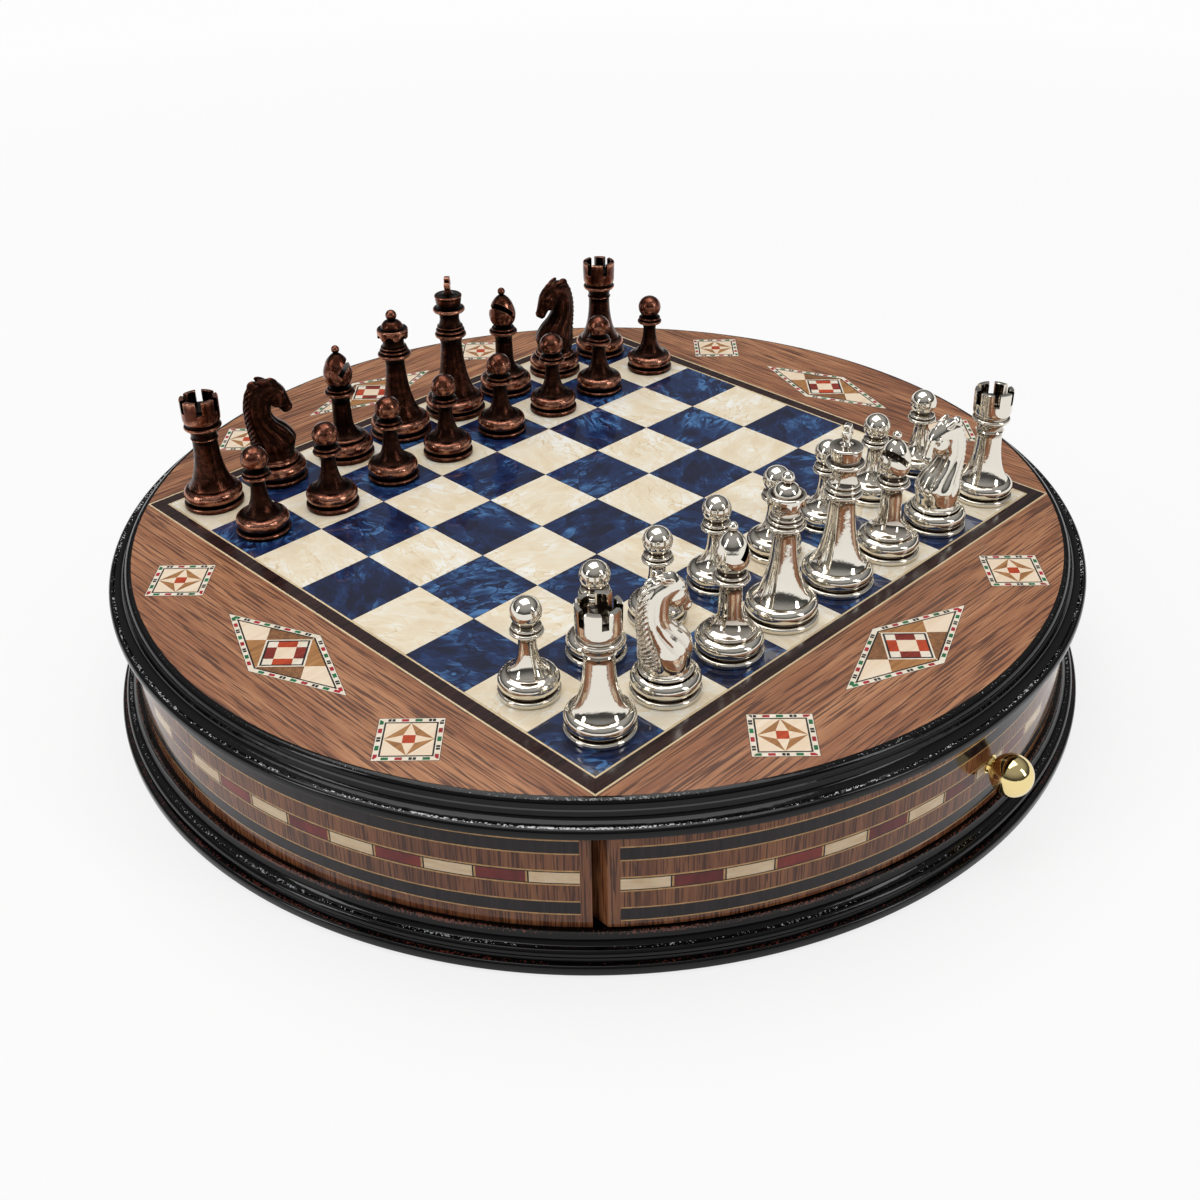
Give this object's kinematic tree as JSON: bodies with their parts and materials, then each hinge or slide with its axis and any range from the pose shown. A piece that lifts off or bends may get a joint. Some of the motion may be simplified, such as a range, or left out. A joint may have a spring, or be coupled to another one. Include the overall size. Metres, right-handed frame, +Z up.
{
  "type": "chess box with drawers",
  "caption": "Round chess box with an inlaid board top, black mouldings, curved drawers with ball knobs in its wall, and a full set of metal men.",
  "frame": {"origin": "on the ground under the middle of the round box", "axes": "+X along the files from a to h, +Y along the ranks from the silver men to the copper men, +Z up"},
  "size_m": [0.407, 0.4246, 0.1316],
  "materials": {
    "board_core": "raw fibreboard",
    "black_lacquer": "gloss black lacquer",
    "base_felt": "felt",
    "walnut_wall": "gloss lacquered walnut veneer",
    "case_wood": "dark stained",
    "runner_wood": "waxed",
    "walnut_top": "satin lacquered walnut veneer",
    "dark_frame": "satin lacquered dark veneer",
    "maple_line": "satin lacquered",
    "cream_pearl": "polished cream pearl celluloid",
    "blue_pearl": "polished dark blue pearl celluloid",
    "mosaic": "satin lacquered mosaic",
    "drawer_wood": "clear finished",
    "drawer_felt": "felt",
    "brass": "polished",
    "steel": "zinc plated",
    "nickel": "polished nickel plate",
    "antique_copper": "antiqued copper plate"
  },
  "bodies": {
    "case": {"base_board": "board_core", "base_moulding": "black_lacquer", "base_felt": "base_felt", "side_panels": "walnut_wall", "case_sides": "case_wood", "partition": "case_wood", "drawer_runners": "runner_wood", "top_board": "board_core", "top_moulding": "black_lacquer", "walnut_segments": "walnut_top", "board_frame": "dark_frame", "stringing": "maple_line", "light_squares": "cream_pearl", "dark_squares": "blue_pearl", "square_medallions": "mosaic", "diamond_medallions": "mosaic"},
    "near_drawer": {"near_drawer_front": "walnut_wall", "near_drawer_frame": "drawer_wood", "near_drawer_bottom": "drawer_wood", "near_drawer_lining": "drawer_felt", "near_drawer_knob": "brass", "near_drawer_screw": "steel"},
    "far_drawer": {"far_drawer_front": "walnut_wall", "far_drawer_frame": "drawer_wood", "far_drawer_bottom": "drawer_wood", "far_drawer_lining": "drawer_felt", "far_drawer_knob": "brass", "far_drawer_screw": "steel"},
    "silver_rook_a": {"silver_rook_a": "nickel"},
    "silver_knight_b": {"silver_knight_b": "nickel"},
    "silver_bishop_c": {"silver_bishop_c": "nickel"},
    "silver_queen": {"silver_queen": "nickel"},
    "silver_king": {"silver_king": "nickel"},
    "silver_bishop_f": {"silver_bishop_f": "nickel"},
    "silver_knight_g": {"silver_knight_g": "nickel"},
    "silver_rook_h": {"silver_rook_h": "nickel"},
    "silver_pawn_a": {"silver_pawn_a": "nickel"},
    "silver_pawn_b": {"silver_pawn_b": "nickel"},
    "silver_pawn_c": {"silver_pawn_c": "nickel"},
    "silver_pawn_d": {"silver_pawn_d": "nickel"},
    "silver_pawn_e": {"silver_pawn_e": "nickel"},
    "silver_pawn_f": {"silver_pawn_f": "nickel"},
    "silver_pawn_g": {"silver_pawn_g": "nickel"},
    "silver_pawn_h": {"silver_pawn_h": "nickel"},
    "copper_rook_a": {"copper_rook_a": "antique_copper"},
    "copper_knight_b": {"copper_knight_b": "antique_copper"},
    "copper_bishop_c": {"copper_bishop_c": "antique_copper"},
    "copper_queen": {"copper_queen": "antique_copper"},
    "copper_king": {"copper_king": "antique_copper"},
    "copper_bishop_f": {"copper_bishop_f": "antique_copper"},
    "copper_knight_g": {"copper_knight_g": "antique_copper"},
    "copper_rook_h": {"copper_rook_h": "antique_copper"},
    "copper_pawn_a": {"copper_pawn_a": "antique_copper"},
    "copper_pawn_b": {"copper_pawn_b": "antique_copper"},
    "copper_pawn_c": {"copper_pawn_c": "antique_copper"},
    "copper_pawn_d": {"copper_pawn_d": "antique_copper"},
    "copper_pawn_e": {"copper_pawn_e": "antique_copper"},
    "copper_pawn_f": {"copper_pawn_f": "antique_copper"},
    "copper_pawn_g": {"copper_pawn_g": "antique_copper"},
    "copper_pawn_h": {"copper_pawn_h": "antique_copper"}
  },
  "joints": [
    {"name": "near_drawer_slide", "type": "slide", "parent": "case", "child": "near_drawer", "axis": [0, -1, 0], "range_m": [0, 0.1]},
    {"name": "far_drawer_slide", "type": "slide", "parent": "case", "child": "far_drawer", "axis": [0, 1, 0], "range_m": [0, 0.1]},
    {"name": "silver_rook_a_lift", "type": "slide", "parent": "case", "child": "silver_rook_a", "axis": [0, 0, 1], "range_m": [0, 0.075]},
    {"name": "silver_knight_b_lift", "type": "slide", "parent": "case", "child": "silver_knight_b", "axis": [0, 0, 1], "range_m": [0, 0.075]},
    {"name": "silver_bishop_c_lift", "type": "slide", "parent": "case", "child": "silver_bishop_c", "axis": [0, 0, 1], "range_m": [0, 0.075]},
    {"name": "silver_queen_lift", "type": "slide", "parent": "case", "child": "silver_queen", "axis": [0, 0, 1], "range_m": [0, 0.075]},
    {"name": "silver_king_lift", "type": "slide", "parent": "case", "child": "silver_king", "axis": [0, 0, 1], "range_m": [0, 0.075]},
    {"name": "silver_bishop_f_lift", "type": "slide", "parent": "case", "child": "silver_bishop_f", "axis": [0, 0, 1], "range_m": [0, 0.075]},
    {"name": "silver_knight_g_lift", "type": "slide", "parent": "case", "child": "silver_knight_g", "axis": [0, 0, 1], "range_m": [0, 0.075]},
    {"name": "silver_rook_h_lift", "type": "slide", "parent": "case", "child": "silver_rook_h", "axis": [0, 0, 1], "range_m": [0, 0.075]},
    {"name": "silver_pawn_a_lift", "type": "slide", "parent": "case", "child": "silver_pawn_a", "axis": [0, 0, 1], "range_m": [0, 0.075]},
    {"name": "silver_pawn_b_lift", "type": "slide", "parent": "case", "child": "silver_pawn_b", "axis": [0, 0, 1], "range_m": [0, 0.075]},
    {"name": "silver_pawn_c_lift", "type": "slide", "parent": "case", "child": "silver_pawn_c", "axis": [0, 0, 1], "range_m": [0, 0.075]},
    {"name": "silver_pawn_d_lift", "type": "slide", "parent": "case", "child": "silver_pawn_d", "axis": [0, 0, 1], "range_m": [0, 0.075]},
    {"name": "silver_pawn_e_lift", "type": "slide", "parent": "case", "child": "silver_pawn_e", "axis": [0, 0, 1], "range_m": [0, 0.075]},
    {"name": "silver_pawn_f_lift", "type": "slide", "parent": "case", "child": "silver_pawn_f", "axis": [0, 0, 1], "range_m": [0, 0.075]},
    {"name": "silver_pawn_g_lift", "type": "slide", "parent": "case", "child": "silver_pawn_g", "axis": [0, 0, 1], "range_m": [0, 0.075]},
    {"name": "silver_pawn_h_lift", "type": "slide", "parent": "case", "child": "silver_pawn_h", "axis": [0, 0, 1], "range_m": [0, 0.075]},
    {"name": "copper_rook_a_lift", "type": "slide", "parent": "case", "child": "copper_rook_a", "axis": [0, 0, 1], "range_m": [0, 0.075]},
    {"name": "copper_knight_b_lift", "type": "slide", "parent": "case", "child": "copper_knight_b", "axis": [0, 0, 1], "range_m": [0, 0.075]},
    {"name": "copper_bishop_c_lift", "type": "slide", "parent": "case", "child": "copper_bishop_c", "axis": [0, 0, 1], "range_m": [0, 0.075]},
    {"name": "copper_queen_lift", "type": "slide", "parent": "case", "child": "copper_queen", "axis": [0, 0, 1], "range_m": [0, 0.075]},
    {"name": "copper_king_lift", "type": "slide", "parent": "case", "child": "copper_king", "axis": [0, 0, 1], "range_m": [0, 0.075]},
    {"name": "copper_bishop_f_lift", "type": "slide", "parent": "case", "child": "copper_bishop_f", "axis": [0, 0, 1], "range_m": [0, 0.075]},
    {"name": "copper_knight_g_lift", "type": "slide", "parent": "case", "child": "copper_knight_g", "axis": [0, 0, 1], "range_m": [0, 0.075]},
    {"name": "copper_rook_h_lift", "type": "slide", "parent": "case", "child": "copper_rook_h", "axis": [0, 0, 1], "range_m": [0, 0.075]},
    {"name": "copper_pawn_a_lift", "type": "slide", "parent": "case", "child": "copper_pawn_a", "axis": [0, 0, 1], "range_m": [0, 0.075]},
    {"name": "copper_pawn_b_lift", "type": "slide", "parent": "case", "child": "copper_pawn_b", "axis": [0, 0, 1], "range_m": [0, 0.075]},
    {"name": "copper_pawn_c_lift", "type": "slide", "parent": "case", "child": "copper_pawn_c", "axis": [0, 0, 1], "range_m": [0, 0.075]},
    {"name": "copper_pawn_d_lift", "type": "slide", "parent": "case", "child": "copper_pawn_d", "axis": [0, 0, 1], "range_m": [0, 0.075]},
    {"name": "copper_pawn_e_lift", "type": "slide", "parent": "case", "child": "copper_pawn_e", "axis": [0, 0, 1], "range_m": [0, 0.075]},
    {"name": "copper_pawn_f_lift", "type": "slide", "parent": "case", "child": "copper_pawn_f", "axis": [0, 0, 1], "range_m": [0, 0.075]},
    {"name": "copper_pawn_g_lift", "type": "slide", "parent": "case", "child": "copper_pawn_g", "axis": [0, 0, 1], "range_m": [0, 0.075]},
    {"name": "copper_pawn_h_lift", "type": "slide", "parent": "case", "child": "copper_pawn_h", "axis": [0, 0, 1], "range_m": [0, 0.075]}
  ]
}
